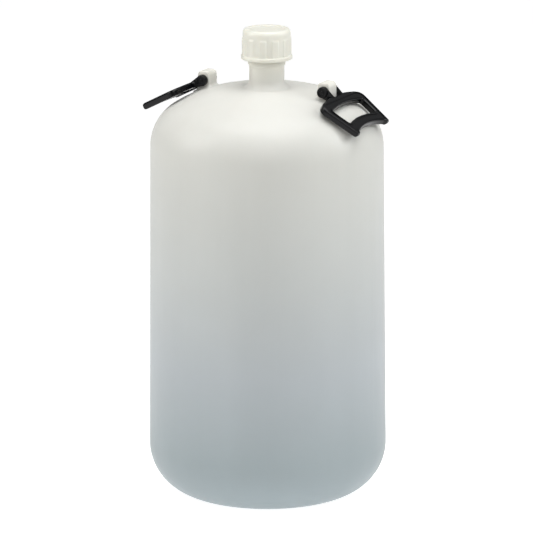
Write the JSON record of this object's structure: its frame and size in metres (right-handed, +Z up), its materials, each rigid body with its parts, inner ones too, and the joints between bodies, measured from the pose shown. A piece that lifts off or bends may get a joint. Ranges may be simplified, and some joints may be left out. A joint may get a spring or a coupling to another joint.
{
  "type": "carboy",
  "caption": "Round translucent plastic carboy with domed shoulder, narrow neck, ribbed screw cap and two swinging carrying handles.",
  "frame": {"origin": "centre of the base, on the surface the bottle stands on", "axes": "+Z up along the axis of the bottle, +X through one handle and -X through the other, handles' pivots along Y"},
  "size_m": [0.2873, 0.284, 0.5656],
  "materials": {
    "bottle_plastic": "translucent natural polyethylene, satin",
    "cap_plastic": "ivory polyethylene, satin",
    "liner_foam": "soft white foam",
    "handle_plastic": "black moulded plastic, satin",
    "pin_plastic": "black moulded plastic, semi-matte"
  },
  "bodies": {
    "root": {"bottle": "bottle_plastic"},
    "liner": {"cap_liner": "liner_foam"},
    "cap": {"screw_cap": "cap_plastic"},
    "left_grip": {"left_handle": "handle_plastic", "left_pivot_pin": "pin_plastic", "left_pin_cap": "pin_plastic"},
    "right_grip": {"right_handle": "handle_plastic", "right_pivot_pin": "pin_plastic", "right_pin_cap": "pin_plastic"}
  },
  "joints": [
    {"name": "cap_lift", "type": "slide", "parent": "root", "child": "liner", "axis": [0, 0, 1], "range_m": [0, 0.032]},
    {"name": "cap_turn", "type": "hinge", "parent": "liner", "child": "cap", "pos_m": [0, 0, 0.55], "axis": [0, 0, 1], "range_deg": [0, 1620]},
    {"name": "left_handle_swing", "type": "hinge", "parent": "root", "child": "left_grip", "pos_m": [-0.0804, 0, 0.4976], "axis": [0, 1, 0], "range_deg": [-6, 146]},
    {"name": "right_handle_swing", "type": "hinge", "parent": "root", "child": "right_grip", "pos_m": [0.0804, 0, 0.4976], "axis": [0, -1, 0], "range_deg": [0, 154]}
  ],
  "couplings": [
    {"joint": "cap_lift", "follows": "cap_turn", "m_per_rad": 0.0011141}
  ]
}
